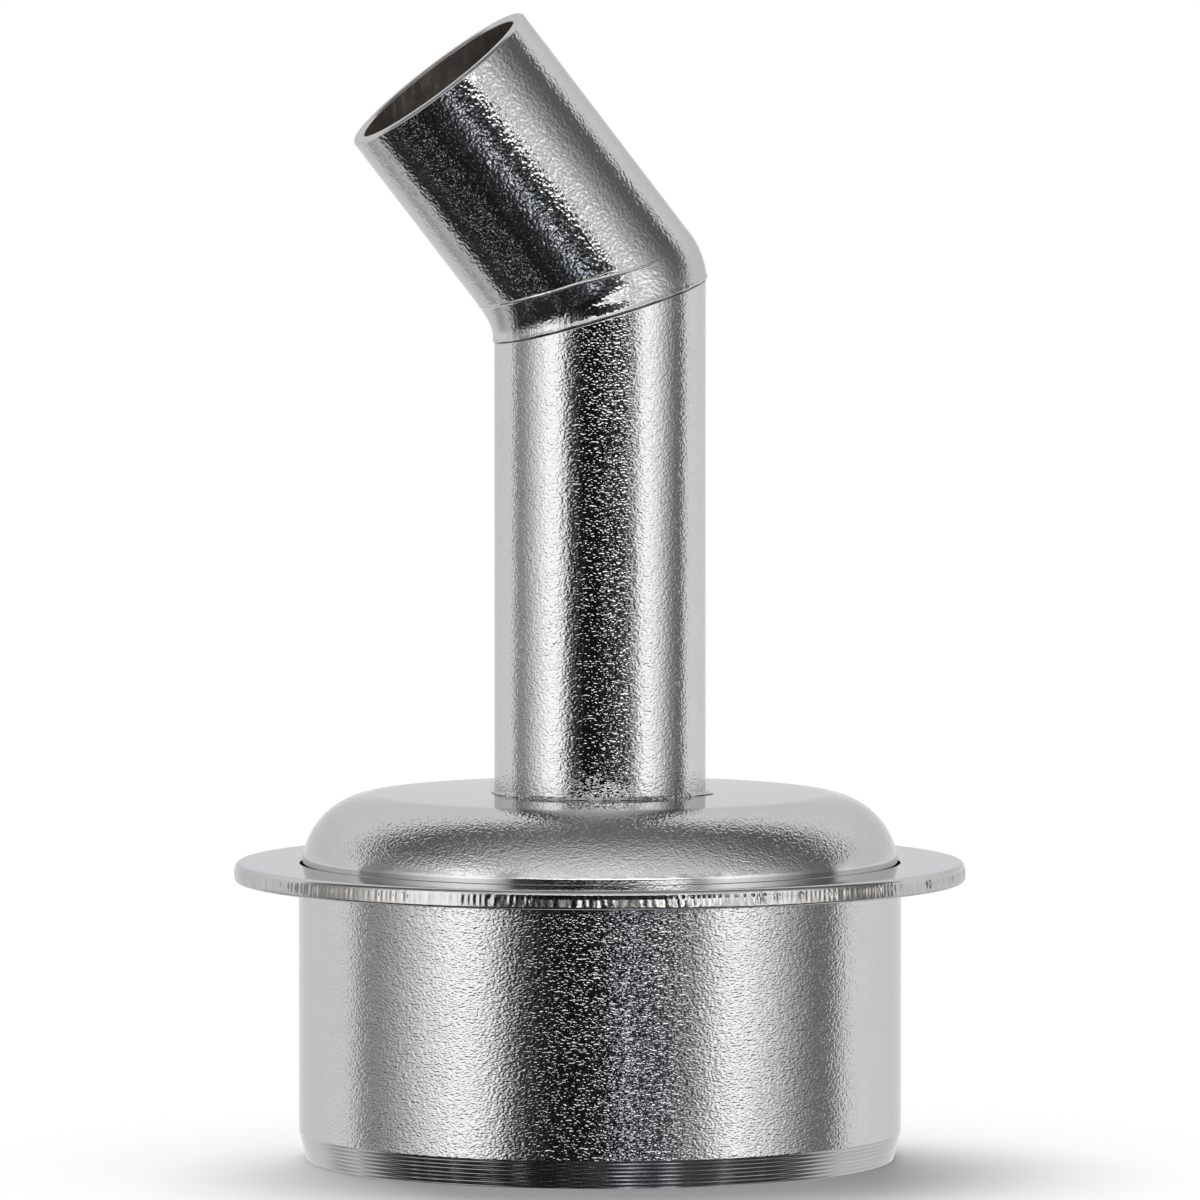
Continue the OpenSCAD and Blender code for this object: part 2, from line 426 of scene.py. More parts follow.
# %% Elbow band
lip_profile = [
    (0.0, -0.12), (0.003, -0.02), (0.010, 0.035), (0.022, 0.066), (0.040, 0.080), (0.062, 0.076),
    (0.090, 0.060), (0.125, 0.045), (0.170, 0.034), (0.230, 0.024), (0.310, 0.014), (0.400, 0.007),
    (0.500, 0.002), (0.600, 0.0), (1.0, 0.0), (1.05, -0.008),
]
outside = [share for share, proud in lip_profile[:11]] + list(np.linspace(0.36, 1.0, 49)) + [1.05]
inside = [1.0, 0.97, 0.85, 0.7, 0.55, 0.4, 0.25, 0.1, 0.03, 0.0]

band_loops = []
for share in outside:
    proud = np.interp(share, *np.transpose(lip_profile))
    uneven = 0.014 * lip_lumps * math.exp(-((share - 0.04) / 0.05) ** 2)
    crease = 0.036 * crease_fade * np.exp(-((share - crease_at) / 0.016) ** 2)
    bulge = 0.055 * swelling * math.exp(-((share - 0.32) / 0.17) ** 2)
    band_loops.append(band_loop(share, TUBE_R + proud + uneven + crease + bulge))
for share in inside:
    band_loops.append(band_loop(share, np.full(BAND_TURNS, BORE_R)))
band_zones = [0] * len(outside) + [1] * len(inside)
elbow = joined_loops("elbow_band", "elbow_collar", band_loops, band_zones)

# %% [markdown]
# ## The tip
#
# The tip is the riser turned upside down: slanted below, square above. It is made along its own axis
# first, sheared at the lower end, and then leaned over by the bend. The mouth is cut square with a small
# bevel on both edges, which draws the bright double line round the opening. A Bevel modifier could cut
# those edges, but in the section they come with their zones.
# Zone 0 is the outside, zone 1 the cut mouth, zone 2 the sooty bore.

# %% Tip
TIP_LEN, BEVEL = 14.5, 0.12
tip_section, tip_zones = rounded_section([
    (BORE_R, TANGENT, 0.04, 1),
    (TUBE_R, TANGENT, 0.05, 0),
    (TUBE_R, TIP_LEN - BEVEL, 0.04, 1),
    (TUBE_R - BEVEL, TIP_LEN, 0.04, 1),
    (BORE_R + BEVEL, TIP_LEN, 0.04, 1),
    (BORE_R, TIP_LEN - BEVEL, 0.04, 2),
], guard=0.02)
tip_loops = turned(tip_section, TUBE_TURNS)
lower = tip_loops[:, :, 2] < 0.5 * TIP_LEN
along = tip_loops[:, :, 2] - np.where(lower, tip_loops[:, :, 0] * SLANT, 0)
across = tip_loops[:, :, 0].copy()
tip_loops[:, :, 0] = across * math.cos(BEND) - along * math.sin(BEND)
tip_loops[:, :, 2] = BEND_Z + across * math.sin(BEND) + along * math.cos(BEND)
tip = joined_loops("tip", "tip_tube", tip_loops, tip_zones)

# %% [markdown]
# ## The braze at the tube's foot
#
# The tube goes through the cup's top and is brazed on both sides. The outer fillet is small and curls
# under at its edge, so a thin dark line parts it from the mirror-flat top. On one side a flake of braze
# stands out further. A plain torus would leave no such line, so the section is drawn point by point.

# %% Foot braze
FOOT_TURNS = 480
FLAKE_AT, FLAKE_WIDTH, FLAKE_REACH = math.radians(340.0245), 0.2, 0.36

foot_angle = around(FOOT_TURNS)
foot_wave = ripple(FOOT_TURNS, 4, 40, 41)
flake = np.exp(-((foot_angle - FLAKE_AT) / FLAKE_WIDTH) ** 4)
foot_profile = [
    (-0.05, -1.45, 0), (0.02, -1.45, 0), (0.08, -1.20, 0.02), (0.18, -0.92, 0.04), (0.26, -0.78, 0.04),
    (0.22, -0.70, 0), (0.13, -0.60, 0), (0.13, -0.10, 0), (0.05, 0.0, 0), (0.06, 0.015, 0.02),
    (0.07, 0.03, 0.03), (0.06, 0.05, 0.03), (0.04, 0.08, 0.02), (0.015, 0.12, 0.012), (0.0, 0.17, 0.005),
    (-0.05, 0.20, 0),
]
foot_loops = []
for out, above_top, wander in foot_profile:
    r = TUBE_R + out + wander * foot_wave
    if 0.005 < above_top < 0.065:
        r = r + FLAKE_REACH * flake
    z = CUP_TOP + above_top + 0.3 * wander * foot_wave
    foot_loops.append(np.stack([r * np.cos(foot_angle), r * np.sin(foot_angle), z], -1))
foot = joined_loops("foot_braze", "foot_braze", foot_loops, [0] * len(foot_loops))

# %% [markdown]
# ## Node helpers
#
# Materials here are small node graphs. Short helpers keep them readable: they add a node, plug in a value
# or a link, do arithmetic, map a range, mix colours, make noise and stretch it. The same nodes could be
# laid out by hand in the editor, but a script can be read from top to bottom.

# %% Node helpers
def add_node(tree, kind, **settings):
    """Adds a node and sets its properties."""
    node = tree.nodes.new(kind)
    for key, value in settings.items():
        setattr(node, key, value)
    return node


def plug(tree, value, socket):
    """Links an output to a socket, or sets a plain value on it."""
    if isinstance(value, bpy.types.NodeSocket):
        tree.links.new(value, socket)
    else:
        socket.default_value = value


def arithmetic(tree, operation, *values):
    """The result of a Math node on values or outputs."""
    node = add_node(tree, "ShaderNodeMath", operation=operation)
    for value, socket in zip(values, node.inputs):
        plug(tree, value, socket)
    return node.outputs[0]


def ranged(tree, value, low, high, to_low=0.0, to_high=1.0):
    """Maps a value smoothly from low..high to to_low..to_high."""
    node = add_node(tree, "ShaderNodeMapRange", interpolation_type="SMOOTHSTEP")
    for item, socket in zip((value, low, high, to_low, to_high), node.inputs):
        plug(tree, item, socket)
    return node.outputs[0]


def blended(tree, share, first, second):
    """Mixes two colours by a share from 0 to 1."""
    node = add_node(tree, "ShaderNodeMix", data_type="RGBA")
    plug(tree, share, node.inputs[0])
    plug(tree, first, node.inputs[6])
    plug(tree, second, node.inputs[7])
    return node.outputs[2]


def noise(tree, vector, scale, detail=2.0, roughness=0.5, distortion=0.0):
    """The value of a Noise Texture."""
    node = add_node(tree, "ShaderNodeTexNoise")
    plug(tree, vector, node.inputs["Vector"])
    plug(tree, scale, node.inputs["Scale"])
    node.inputs["Detail"].default_value = detail
    node.inputs["Roughness"].default_value = roughness
    node.inputs["Distortion"].default_value = distortion
    return node.outputs[0]


def stretched(tree, vector, factors):
    """Multiplies a vector by one factor for each axis."""
    node = add_node(tree, "ShaderNodeVectorMath", operation="MULTIPLY")
    plug(tree, vector, node.inputs[0])
    plug(tree, factors, node.inputs[1])
    return node.outputs[0]


node_helpers = (add_node, plug, arithmetic, ranged, blended, noise, stretched)
print("node helpers:", [helper.__name__ for helper in node_helpers])

# %% [markdown]
# ## Orange peel
#
# Drawn and plated sheet is never glass-smooth: its grain stands up in tiny bumps, less than two tenths of
# a millimetre wide. They scatter bright specks into every dark reflection. The effect is used on several
# finishes, so it is a node group: a slightly distorted noise, squeezed along the axis, with a coarser one
# added at half weight. A second output, much larger in scale, is a mottle for colour and roughness. A
# Voronoi Texture would give cells with sharp borders, while noise has the soft ones of plated sheet.

# %% Orange peel group
MOTTLE_SCALE = 420.0


def new_group(name, inputs, outputs):
    """A node group with its sockets; returns the group, its given inputs and its result."""
    group = bpy.data.node_groups.new(name, "ShaderNodeTree")
    for label, kind, value in inputs:
        socket = group.interface.new_socket(name=label, in_out="INPUT", socket_type=kind)
        if value is not None:
            socket.default_value = value
    for label, kind in outputs:
        group.interface.new_socket(name=label, in_out="OUTPUT", socket_type=kind)
    return group, add_node(group, "NodeGroupInput").outputs, add_node(group, "NodeGroupOutput").inputs


orange_peel, given, result = new_group(
    "orange_peel",
    [
        ("Vector", "NodeSocketVector", None),
        ("Grain", "NodeSocketFloat", 3000.0),
        ("Squeeze", "NodeSocketFloat", 1.0),
    ],
    [("Height", "NodeSocketFloat"), ("Mottle", "NodeSocketFloat")],
)
squeeze = add_node(orange_peel, "ShaderNodeCombineXYZ")
squeeze.inputs[0].default_value = 1.0
squeeze.inputs[1].default_value = 1.0
plug(orange_peel, given["Squeeze"], squeeze.inputs[2])
peel_space = stretched(orange_peel, given["Vector"], squeeze.outputs[0])
grains = noise(orange_peel, peel_space, given["Grain"], 0.0, 0.5, 0.3)
half_grain = arithmetic(orange_peel, "MULTIPLY", given["Grain"], 0.5)
clumps = noise(orange_peel, peel_space, half_grain, 0.0)
plug(orange_peel, arithmetic(orange_peel, "MULTIPLY_ADD", clumps, 0.5, grains), result["Height"])
plug(orange_peel, noise(orange_peel, given["Vector"], MOTTLE_SCALE, 3.0, 0.6), result["Mottle"])
print("orange peel group:", [item.name for item in orange_peel.interface.items_tree])

# %% [markdown]
# ## Scratched lines
#
# Turning, tearing and dressing all leave lines: noise that is squeezed hard along one direction. One
# group serves the turned lead-in, the torn rim of the ring and the dressed elbow band, each with its own
# stretch. A Wave Texture could draw lines too, but they would be too regular for tool marks.

# %% Lines group
lines_group, given, result = new_group(
    "drawn_lines",
    [("Vector", "NodeSocketVector", None), ("Stretch", "NodeSocketVector", (1.0, 1.0, 1.0))],
    [("Height", "NodeSocketFloat")],
)
line_space = stretched(lines_group, given["Vector"], given["Stretch"])
plug(lines_group, noise(lines_group, line_space, 1.0, 3.0, 0.6, 0.2), result["Height"])
print("lines group:", [item.name for item in lines_group.interface.items_tree])

# %% [markdown]
# ## The finishes
#
# Nearly all finishes are bare metal: Metallic 1 and a grey Base Color that sets how much light they give
# back, about six tenths for plated steel. Roughness stays low, because the softness in the photograph
# comes from the grain, not from a dull surface. Helpers start a finish, place a group, raise a bump or
# the grain, and let a mask vary the colour and the roughness a little, because no plating is quite even.
# The plain colour and roughness that each finish starts with are for viewers that can't read its nodes.

# %% Finish helpers
PLATED = (0.6, 0.59, 0.59)
EDGE_TINT = (0.78, 0.78, 0.79, 1.0)


def new_finish(name, colour, roughness, metallic=1.0):
    """A new material; returns it with its tree, its shader and the place on the piece."""
    finish = bpy.data.materials.new(name)
    finish.use_nodes = True
    tree = finish.node_tree
    shader = tree.nodes["Principled BSDF"]
    shader.inputs["Base Color"].default_value = (*colour, 1.0)
    shader.inputs["Roughness"].default_value = roughness
    shader.inputs["Metallic"].default_value = metallic
    shader.inputs["Specular Tint"].default_value = EDGE_TINT
    place = add_node(tree, "ShaderNodeTexCoord").outputs["Object"]
    return finish, tree, shader, place


def placed_group(tree, group, **values):
    """Places a node group and sets its inputs; returns its outputs."""
    node = add_node(tree, "ShaderNodeGroup", node_tree=group)
    for key, value in values.items():
        plug(tree, value, node.inputs[key])
    return node.outputs


def bumped(tree, shader, height, depth, normal=None):
    """Raises a height map by depth millimetres; returns the normal."""
    bump = add_node(tree, "ShaderNodeBump")
    bump.inputs["Distance"].default_value = depth * MM
    plug(tree, height, bump.inputs["Height"])
    if normal is not None:
        plug(tree, normal, bump.inputs["Normal"])
    plug(tree, bump.outputs[0], shader.inputs["Normal"])
    return bump.outputs[0]


def grained(tree, shader, place, grain, squeeze, depth):
    """Raises the orange peel by depth millimetres; returns its mottle."""
    peel = placed_group(tree, orange_peel, Vector=place, Grain=grain, Squeeze=squeeze)
    bumped(tree, shader, peel["Height"], depth)
    return peel["Mottle"]


def varied(tree, shader, mask, dull, bright, smooth, rough):
    """Lets a mask vary the colour and the roughness a little."""
    plug(tree, blended(tree, mask, (*dull, 1.0), (*bright, 1.0)), shader.inputs["Base Color"])
    plug(tree, ranged(tree, mask, 0.3, 0.7, smooth, rough), shader.inputs["Roughness"])


finish_helpers = (new_finish, placed_group, bumped, grained, varied)
print("finish helpers:", [helper.__name__ for helper in finish_helpers])

# %% [markdown]
# ## Drawn sheet
#
# The cup's outside carries a strong grain, because the sheet was stretched there, most of all on the
# knuckle. On the flat top the punch pressed it smooth, and at the neck the ring rubbed it smooth. So the
# grain is masked by the distance from the axis, by the distance from the neck and by the height. One even
# grain over the whole cup would be simpler, but it would blur the mirror of the flat top.

# %% Drawn sheet
FLAT_END, KNUCKLE_GRAIN = 11.9 * MM, 13.6 * MM
NECK_MIDDLE, RUBBED, UNRUBBED = 15.85 * MM, 0.5 * MM, 1.0 * MM
STRETCHED_FROM, STRETCHED_TO = 16.6 * MM, 17.4 * MM

drawn_sheet, tree, shader, place = new_finish("drawn_sheet", PLATED, 0.12)
peel = placed_group(tree, orange_peel, Vector=place, Grain=6400.0, Squeeze=1.75)
flat_place = stretched(tree, place, (1.0, 1.0, 0.0))
radius = add_node(tree, "ShaderNodeVectorMath", operation="LENGTH")
plug(tree, flat_place, radius.inputs[0])
off_the_top = ranged(tree, radius.outputs["Value"], FLAT_END, KNUCKLE_GRAIN, 0.055, 1.0)
where = add_node(tree, "ShaderNodeSeparateXYZ")
plug(tree, place, where.inputs[0])
height = where.outputs["Z"]
from_neck = arithmetic(tree, "ABSOLUTE", arithmetic(tree, "SUBTRACT", height, NECK_MIDDLE))
off_the_neck = ranged(tree, from_neck, RUBBED, UNRUBBED, 0.06, 1.0)
stretched_more = ranged(tree, height, STRETCHED_FROM, STRETCHED_TO, 1.0, 1.7)
grain = arithmetic(tree, "MULTIPLY", peel["Height"], off_the_top)
grain = arithmetic(tree, "MULTIPLY", grain, off_the_neck)
grain = arithmetic(tree, "MULTIPLY", grain, stretched_more)
bumped(tree, shader, grain, 0.0168)
varied(tree, shader, peel["Mottle"], (0.57, 0.56, 0.565), (0.63, 0.62, 0.62), 0.03, 0.06)
print("drawn sheet has", len(tree.nodes), "nodes")

# %% [markdown]
# ## Drawn tube
#
# Tube is drawn lengthwise through a die, so its grain is less squeezed. The riser has a finer grain than
# the tip. Two separate sets of nodes would do, but one helper keeps both finishes alike. It first turns
# the texture by the lean of the tube, so that the grain follows the axis of the tip as well.

# %% Tube sheet
def tube_finish(name, lean, grain, squeeze, depth):
    """The grain of drawn tube whose axis leans over by an angle towards -X."""
    finish, tree, shader, place = new_finish(name, PLATED, 0.12)
    upright = add_node(tree, "ShaderNodeVectorRotate", rotation_type="Y_AXIS")
    plug(tree, place, upright.inputs["Vector"])
    upright.inputs["Angle"].default_value = lean
    mottle = grained(tree, shader, upright.outputs[0], grain=grain, squeeze=squeeze, depth=depth)
    varied(tree, shader, mottle, (0.57, 0.56, 0.56), (0.63, 0.62, 0.615), 0.03, 0.06)
    return finish


riser_sheet = tube_finish("riser_sheet", 0.0, 7000.0, 1.35, 0.0155)
tip_sheet = tube_finish("tip_sheet", BEND, 5600.0, 1.05, 0.02)
print("tube finishes:", riser_sheet.name, tip_sheet.name)

# %% [markdown]
# ## Ring faces
#
# The ring's flat faces are rolled sheet under the same plating. Rolling leaves them almost like a mirror:
# the bump is very low and so is the roughness. Roughness alone would be simpler, but the trace of a bump
# bends the mirrored edges a little.

# %% Ring faces
ring_face, tree, shader, place = new_finish("ring_face", PLATED, 0.12)
mottle = grained(tree, shader, place, grain=2600.0, squeeze=1.0, depth=0.003)
varied(tree, shader, mottle, (0.57, 0.56, 0.565), (0.62, 0.61, 0.61), 0.04, 0.08)
print("ring faces have", len(tree.nodes), "nodes")

# %% [markdown]
# ## Torn rim
#
# Blanking leaves a rim that is bright where the punch cut and dull where the metal tore. The columns in
# the mesh are the coarse part of that; upright lines in bump, colour and roughness are the fine part.
# Bump alone would look cast, so all three follow the same lines.

# %% Torn rim
torn_rim, tree, shader, place = new_finish("torn_rim", (0.55, 0.54, 0.53), 0.14)
tears = placed_group(tree, lines_group, Vector=place, Stretch=(3600.0, 3600.0, 500.0))
bumped(tree, shader, tears["Height"], 0.014)
varied(tree, shader, tears["Height"], (0.36, 0.35, 0.345), (0.66, 0.65, 0.64), 0.14, 0.07)
print("torn rim has", len(tree.nodes), "nodes")

# %% [markdown]
# ## Turned band
#
# The lathe tool left rings on the lead-in and on the rim's end face. The deep ones are in the mesh, and
# noise that is squeezed hard along the axis adds the fine ones between them. An anisotropic shader could
# give such a sheen, but its rings couldn't be told apart.

# %% Turned band
turned_band, tree, shader, place = new_finish("turned_band", (0.58, 0.57, 0.57), 0.14)
tool_lines = placed_group(tree, lines_group, Vector=place, Stretch=(60.0, 60.0, 9000.0))
bumped(tree, shader, tool_lines["Height"], 0.007)
varied(tree, shader, tool_lines["Height"], (0.52, 0.51, 0.51), (0.63, 0.62, 0.62), 0.13, 0.07)
print("turned band has", len(tree.nodes), "nodes")

# %% [markdown]
# ## Dressed elbow
#
# The band was dressed by hand after forming. Strokes of the wheel show near its lower lip and fade out
# over about a millimetre, measured from the slanted seam. The rest has the grain of the tube, a little
# duller. A painted mask could place the strokes, but a distance follows the seam by itself.

# %% Elbow finish
DRESSED, UNDRESSED = 0.5 * MM, 1.6 * MM

elbow_sheet, tree, shader, place = new_finish("elbow_sheet", (0.6, 0.59, 0.585), 0.13)
peel = placed_group(tree, orange_peel, Vector=place, Grain=5400.0, Squeeze=1.2)
dressing = placed_group(tree, lines_group, Vector=place, Stretch=(5200.0, 5200.0, 420.0))
where = add_node(tree, "ShaderNodeSeparateXYZ")
plug(tree, place, where.inputs[0])
seam_height = arithmetic(tree, "MULTIPLY_ADD", where.outputs["X"], SLANT, SEAM_Z * MM)
over_seam = arithmetic(tree, "SUBTRACT", where.outputs["Z"], seam_height)
near_lip = ranged(tree, over_seam, DRESSED, UNDRESSED, 1.0, 0.1)
dressed = bumped(tree, shader, arithmetic(tree, "MULTIPLY", dressing["Height"], near_lip), 0.03)
bumped(tree, shader, peel["Height"], 0.014, dressed)
varied(tree, shader, peel["Mottle"], (0.57, 0.56, 0.555), (0.63, 0.62, 0.61), 0.09, 0.16)
print("dressed elbow has", len(tree.nodes), "nodes")

# %% [markdown]
# ## Cut edges
#
# The mouth and the other ends were cut, bevelled and then plated. Their surface is finer and duller than
# the drawn one, so they look paler and show no specks. They could share the finish of the tube, but then
# the mouth would sparkle.

# %% Cut edges
cut_edge, tree, shader, place = new_finish("cut_edge", (0.62, 0.61, 0.6), 0.2)
mottle = grained(tree, shader, place, grain=5200.0, squeeze=1.0, depth=0.006)
varied(tree, shader, mottle, (0.56, 0.55, 0.54), (0.67, 0.66, 0.65), 0.16, 0.26)
print("cut edges have", len(tree.nodes), "nodes")

# %% [markdown]
# ## Sooty bore
#
# Hot air has browned the inside of the tubes. The metal is brown-grey in two tones, in patches, and
# rougher than the outside, so the far wall is seen only as soft streaks through the mouth. A dark paint
# would be simpler, but browned metal still mirrors, so Metallic stays high.

# %% Sooty bore
sooty_bore, tree, shader, place = new_finish("sooty_bore", (0.1, 0.085, 0.07), 0.4, 0.8)
mottle = grained(tree, shader, place, grain=2400.0, squeeze=0.5, depth=0.03)
varied(tree, shader, mottle, (0.2, 0.18, 0.165), (0.44, 0.41, 0.38), 0.24, 0.36)
print("sooty bore has", len(tree.nodes), "nodes")

# %% [markdown]
# ## Inside of the cup
#
# Plating throws poorly into a deep cup, so its inside is darker, rougher and more mottled than its
# outside. It could wear the finish of the outside, but then it would look polished from below.

# %% Cup inside
cup_inside, tree, shader, place = new_finish("cup_inside", (0.5, 0.49, 0.48), 0.24)
mottle = grained(tree, shader, place, grain=2600.0, squeeze=1.4, depth=0.03)
varied(tree, shader, mottle, (0.42, 0.41, 0.4), (0.54, 0.53, 0.52), 0.18, 0.32)
print("inside of the cup has", len(tree.nodes), "nodes")

# %% [markdown]
# ## Braze
#
# Braze freezes with a wrinkled skin. It was plated with the rest, so its colour is nearly the same, but
# its bump is the deepest and it is duller. Wrinkles in the mesh would take far more faces than a bump,
# and they would look the same.

# %% Braze
braze, tree, shader, place = new_finish("braze", (0.58, 0.57, 0.55), 0.18)
mottle = grained(tree, shader, place, grain=4600.0, squeeze=0.8, depth=0.07)
varied(tree, shader, mottle, (0.5, 0.49, 0.47), (0.62, 0.61, 0.59), 0.14, 0.24)
print("braze has", len(tree.nodes), "nodes")

# %% [markdown]
# ## Dressing the pieces
#
# Each piece's zones now get their finishes, in the order of the zone numbers. Vertex groups could mark
# the places too, but a zone number is all that a face needs.

# %% Finishes on the pieces
for piece, slot, finishes in (
    (drawn_cup, "bright_steel", (drawn_sheet, turned_band, cup_inside)),
    (flange, "bright_steel", (ring_face, torn_rim)),
    (ring_braze, "braze_metal", (braze,)),
    (riser, "bright_steel", (riser_sheet, cut_edge, sooty_bore)),
    (elbow, "bright_steel", (elbow_sheet, sooty_bore)),
    (tip, "bright_steel", (tip_sheet, cut_edge, sooty_bore)),
    (foot, "braze_metal", (braze,)),
):
    for finish in finishes:
        piece.data.materials.append(finish)
    print(piece.name, "wears", [finish.name for finish in finishes])

# %% [markdown]
# ## The light tent
#
# Bright metal has hardly any colour of its own: what one sees is the room round it. So the room is
# painted on the sky, by direction. Swing is the angle round the horizon from the photographer's side,
# positive to the right, and climb is the angle above the horizon. Both are made from the sky's own
# coordinates. Real lamps and cards could stand there instead, but a painted sky is quicker to set and to
# render.

# %% Directions in the tent
world = bpy.data.worlds.new("light_tent")
bpy.context.scene.world = world
world.use_nodes = True
tree = world.node_tree
background = tree.nodes["Background"]
direction = add_node(tree, "ShaderNodeTexCoord").outputs["Generated"]


def share_of(vector):
    """How far the sky's direction points along a vector."""
    node = add_node(tree, "ShaderNodeVectorMath", operation="DOT_PRODUCT")
    plug(tree, direction, node.inputs[0])
    node.inputs[1].default_value = vector
    return node.outputs["Value"]


def degrees(value):
    """Turns radians into degrees."""
    return arithmetic(tree, "MULTIPLY", value, 180 / math.pi)


def tone_ramp(value, low, high, tones):
    """A colour ramp over degrees low..high from (degree, grey) stops."""
    node = add_node(tree, "ShaderNodeValToRGB")
    ramp = node.color_ramp
    past_low = arithmetic(tree, "SUBTRACT", value, low)
    plug(tree, arithmetic(tree, "DIVIDE", past_low, high - low), node.inputs[0])
    while len(ramp.elements) < len(tones):
        ramp.elements.new(1.0)
    for element, (degree, tone) in zip(ramp.elements, tones):
        element.position = (degree - low) / (high - low)
        element.color = (tone, tone, tone, 1.0)
    return node.outputs[0]


to_right = share_of((math.cos(CAMERA_TURN), math.sin(CAMERA_TURN), 0.0))
to_front = share_of((math.sin(CAMERA_TURN), -math.cos(CAMERA_TURN), 0.0))
swing = degrees(arithmetic(tree, "ARCTAN2", to_right, to_front))
climb = degrees(arithmetic(tree, "ARCSINE", share_of((0.0, 0.0, 1.0))))
side = arithmetic(tree, "ABSOLUTE", swing)
print("directions take", len(tree.nodes), "nodes")

# %% [markdown]
# ## The walls
#
# The stripes on the tube tell what stood round it: white behind the object, two white panels at the sides
# that are brightest towards the front, and a dark gap between them for the lens. A colour ramp round the
# horizon is the plainest way to paint that, because its stops can be read off the stripes one by one.

# %% Walls
round_the_horizon = tone_ramp(swing, -180, 180, [
    (-180, 0.98), (-108, 0.95), (-105.5, 0.4), (-95, 0.37), (-84, 0.6), (-70, 1.12), (-57, 1.64),
    (-46, 1.56), (-38, 0.8), (-33, 0.1), (-18, 0.006), (-8, 0.008), (0, 0.01), (8, 0.015), (22, 0.03),
    (30, 0.07), (36, 0.3), (40, 0.75), (44, 1.25), (50, 1.66), (58, 1.48), (68, 1.04), (79, 0.53),
    (90, 0.22), (101, 0.2), (106, 0.9), (111, 1.02), (160, 1.0), (180, 0.98),
])
print("with the walls the tent has", len(tree.nodes), "nodes")

# %% [markdown]
# ## The ceiling
#
# Over the lens hangs a white panel. Its lower edge is the brightest part and makes the specks on the dark
# stripes; towards the ceiling and the sides it fades. Behind the object the white backdrop goes all the
# way up, and just above the horizon it is a little greyer, which the flat tops show. The dome of the cup
# needs these soft changes, because it mirrors all of the ceiling at once.

# %% Ceiling
BACKDROP_WHITE = (0.93, 0.93, 0.93, 1.0)
up_the_front = tone_ramp(climb, 0, 90, [
    (0, 2.7), (8, 2.7), (12, 1.25), (20, 1.28), (27, 1.24), (35, 1.05), (45, 0.85), (52, 0.78), (62, 0.55),
    (72, 0.38), (90, 0.24),
])
up_the_sides = tone_ramp(climb, 0, 90, [
    (0, 0.2), (25, 0.15), (45, 0.13), (60, 0.17), (75, 0.21), (90, 0.22),
])
panel_width = tone_ramp(side, 0, 120, [
    (0, 1.0), (30, 0.9), (52, 0.66), (67, 0.38), (82, 0.15), (95, 0.03), (120, 0.0),
])
ceiling = blended(tree, panel_width, up_the_sides, up_the_front)
backdrop = ranged(tree, to_front, -0.3, -0.5)
ceiling = blended(tree, backdrop, ceiling, BACKDROP_WHITE)
print("with the ceiling the tent has", len(tree.nodes), "nodes")

# %% Where the walls end
LOW_GREY = (0.86, 0.86, 0.87, 1.0)
in_front = ranged(tree, side, 28, 42, 1.0, 0.0)
lower_edge = ranged(tree, swing, -30, 4, 7.0, 5.2)
lower_edge = arithmetic(tree, "SUBTRACT", lower_edge, ranged(tree, swing, 4, 28, 0.0, 1.6))
above_edge = arithmetic(tree, "SUBTRACT", climb, lower_edge)
over_the_lens = arithmetic(tree, "MULTIPLY", in_front, ranged(tree, above_edge, 0, 1.5))
panel_top = ranged(tree, swing, -30, 30, 14, 3)
panel_fade = ranged(tree, swing, -30, 30, 31, 20)
going_up = arithmetic(tree, "MAXIMUM", over_the_lens, ranged(tree, climb, panel_top, panel_fade))
walls = blended(tree, going_up, round_the_horizon, ceiling)
low_behind = arithmetic(tree, "MULTIPLY", ranged(tree, climb, 1, 3.5), ranged(tree, climb, 26, 14))
low_behind = arithmetic(tree, "MULTIPLY", low_behind, backdrop)
walls = blended(tree, low_behind, walls, LOW_GREY)
print("with their upper ends the tent has", len(tree.nodes), "nodes")

# %% [markdown]
# ## Below the horizon
#
# The undersides and the leaning tip mirror what lies low: a dark room in front, and the white sweep of
# the backdrop behind. One more ramp round the horizon is enough for that, and it takes over softly below
# the walls.

# %% Below the horizon
under_the_lens = tone_ramp(swing, -180, 180, [
    (-180, 1.1), (-142, 0.88), (-132, 0.45), (-122, 0.55), (-113, 0.74), (-107, 0.5), (-102, 0.2),
    (-95, 0.03), (-30, 0.015), (-16, 0.015), (0, 0.025), (24, 0.04), (40, 0.06), (90, 0.05), (104, 0.7),
    (180, 0.9),
])
below = ranged(tree, climb, -20, -5, 1.0, 0.0)
tent = blended(tree, below, walls, under_the_lens)
print("with what lies low the tent has", len(tree.nodes), "nodes")

# %% [markdown]
# ## Small things in the room
#
# No room is as even as a ramp. A slanted bluish window with things in front of it, a few lights low down,
# folds in the panel over the lens and a pale table straight below: each is a soft patch, and the grain
# breaks it up. Small lamps could make such patches too, but on the sky nothing has to be aimed.

# %% Window
WINDOW_BLUE = (1.36, 1.46, 1.66, 1.0)
# Reach of the window in degrees
WINDOW_ACROSS, WINDOW_ALONG = 14, 24


def slanted(along, up, middle):
    """A distance in degrees across a slanted direction of the tent."""
    lift = arithmetic(tree, "MULTIPLY_ADD", climb, up, -middle)
    return arithmetic(tree, "ADD", arithmetic(tree, "MULTIPLY", swing, along), lift)


def squared_share(value, reach):
    """The square of a distance as a share of its reach."""
    share = arithmetic(tree, "DIVIDE", value, reach)
    return arithmetic(tree, "MULTIPLY", share, share)


